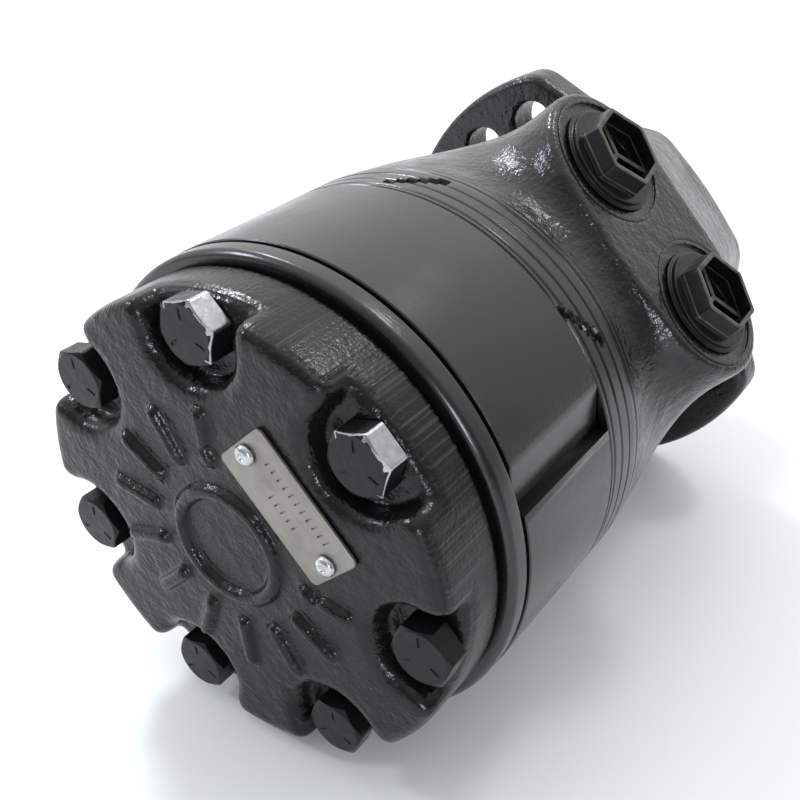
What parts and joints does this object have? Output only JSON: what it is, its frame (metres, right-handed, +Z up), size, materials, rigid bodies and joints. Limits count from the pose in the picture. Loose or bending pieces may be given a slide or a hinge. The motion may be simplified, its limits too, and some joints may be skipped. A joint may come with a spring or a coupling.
{
  "type": "hydraulic motor",
  "caption": "Low-speed hydraulic motor: bolted end cover, roller stator, housing with two plugged ports, eared mounting flange and keyed output shaft.",
  "frame": {"origin": "middle of the bounding box, on the surface that the motor lies on", "axes": "+Y along the output shaft, away from the end cover; +Z up; the ports face up and towards +X, rolled 46 degrees from straight up"},
  "size_m": [0.1406, 0.244, 0.1404],
  "materials": {
    "black_casting": "semi-gloss black paint over a rough sand casting",
    "black_machined": "semi-gloss black paint over turned steel",
    "bolt_steel": "black painted steel, worn bright on the edges",
    "bright_steel": "ground steel, lightly oiled",
    "plate_aluminium": "satin",
    "zinc": "zinc plated",
    "plug_plastic": "moulded black plastic, slight sheen",
    "seal_rubber": "matt"
  },
  "bodies": {
    "motor_body": {"end_cover": "black_casting", "manifold_plate": "black_machined", "stator": "black_machined", "housing": "black_casting", "cover_seal": "seal_rubber", "manifold_seal": "seal_rubber", "housing_seal": "seal_rubber", "balance_plate": "bright_steel", "wear_plate": "bright_steel", "cover_bolt_1": "bolt_steel", "cover_bolt_2": "bolt_steel", "cover_bolt_3": "bolt_steel", "cover_bolt_4": "bolt_steel", "cover_bolt_5": "bolt_steel", "cover_bolt_6": "bolt_steel", "cover_bolt_7": "bolt_steel", "nameplate": "plate_aluminium", "drive_screw_1": "zinc", "drive_screw_2": "zinc", "port_plug_1": "plug_plastic", "port_plug_seal_1": "seal_rubber", "port_plug_2": "plug_plastic", "port_plug_seal_2": "seal_rubber", "rear_bearing": "bright_steel", "thrust_bearing": "bright_steel", "front_bearing": "bright_steel", "seal_backup_ring": "bright_steel", "shaft_seal": "seal_rubber", "dust_seal": "seal_rubber"},
    "output_shaft": {"output_shaft": "bright_steel", "shaft_key": "bright_steel"},
    "orbit": {"drive_spacer": "bright_steel"},
    "rotor": {"rotor": "bright_steel"},
    "drive_link": {"drive_link": "bright_steel"},
    "roller_1": {"roller_1": "bright_steel"},
    "roller_2": {"roller_2": "bright_steel"},
    "roller_3": {"roller_3": "bright_steel"},
    "roller_4": {"roller_4": "bright_steel"},
    "roller_5": {"roller_5": "bright_steel"},
    "roller_6": {"roller_6": "bright_steel"},
    "roller_7": {"roller_7": "bright_steel"}
  },
  "joints": [
    {"name": "shaft_spin", "type": "hinge", "parent": "motor_body", "child": "output_shaft", "pos_m": [-0.00608, 0.09395, 0.06342], "axis": [0, 1, 0], "continuous": true},
    {"name": "rotor_orbit", "type": "hinge", "parent": "motor_body", "child": "orbit", "pos_m": [-0.00608, -0.07105, 0.06342], "axis": [0, 1, 0], "continuous": true},
    {"name": "rotor_spin", "type": "hinge", "parent": "orbit", "child": "rotor", "pos_m": [-0.00879, -0.07105, 0.06062], "axis": [0, 1, 0], "continuous": true},
    {"name": "link_spin", "type": "hinge", "parent": "orbit", "child": "drive_link", "pos_m": [-0.00743, -0.04205, 0.06202], "axis": [0.0466, 0.9977, 0.0483], "continuous": true},
    {"name": "roller_1_spin", "type": "hinge", "parent": "motor_body", "child": "roller_1", "pos_m": [0.006, -0.07105, 0.09998], "axis": [0, 1, 0], "continuous": true},
    {"name": "roller_2_spin", "type": "hinge", "parent": "motor_body", "child": "roller_2", "pos_m": [-0.02713, -0.07105, 0.09566], "axis": [0, 1, 0], "continuous": true},
    {"name": "roller_3_spin", "type": "hinge", "parent": "motor_body", "child": "roller_3", "pos_m": [-0.04441, -0.07105, 0.06706], "axis": [0, 1, 0], "continuous": true},
    {"name": "roller_4_spin", "type": "hinge", "parent": "motor_body", "child": "roller_4", "pos_m": [-0.03282, -0.07105, 0.03573], "axis": [0, 1, 0], "continuous": true},
    {"name": "roller_5_spin", "type": "hinge", "parent": "motor_body", "child": "roller_5", "pos_m": [-0.0011, -0.07105, 0.02524], "axis": [0, 1, 0], "continuous": true},
    {"name": "roller_6_spin", "type": "hinge", "parent": "motor_body", "child": "roller_6", "pos_m": [0.02687, -0.07105, 0.04351], "axis": [0, 1, 0], "continuous": true},
    {"name": "roller_7_spin", "type": "hinge", "parent": "motor_body", "child": "roller_7", "pos_m": [0.03003, -0.07105, 0.07677], "axis": [0, 1, 0], "continuous": true}
  ],
  "couplings": [
    {"joint": "rotor_orbit", "follows": "shaft_spin", "ratio": -6},
    {"joint": "rotor_spin", "follows": "shaft_spin", "ratio": 7},
    {"joint": "link_spin", "follows": "shaft_spin", "ratio": 7}
  ]
}
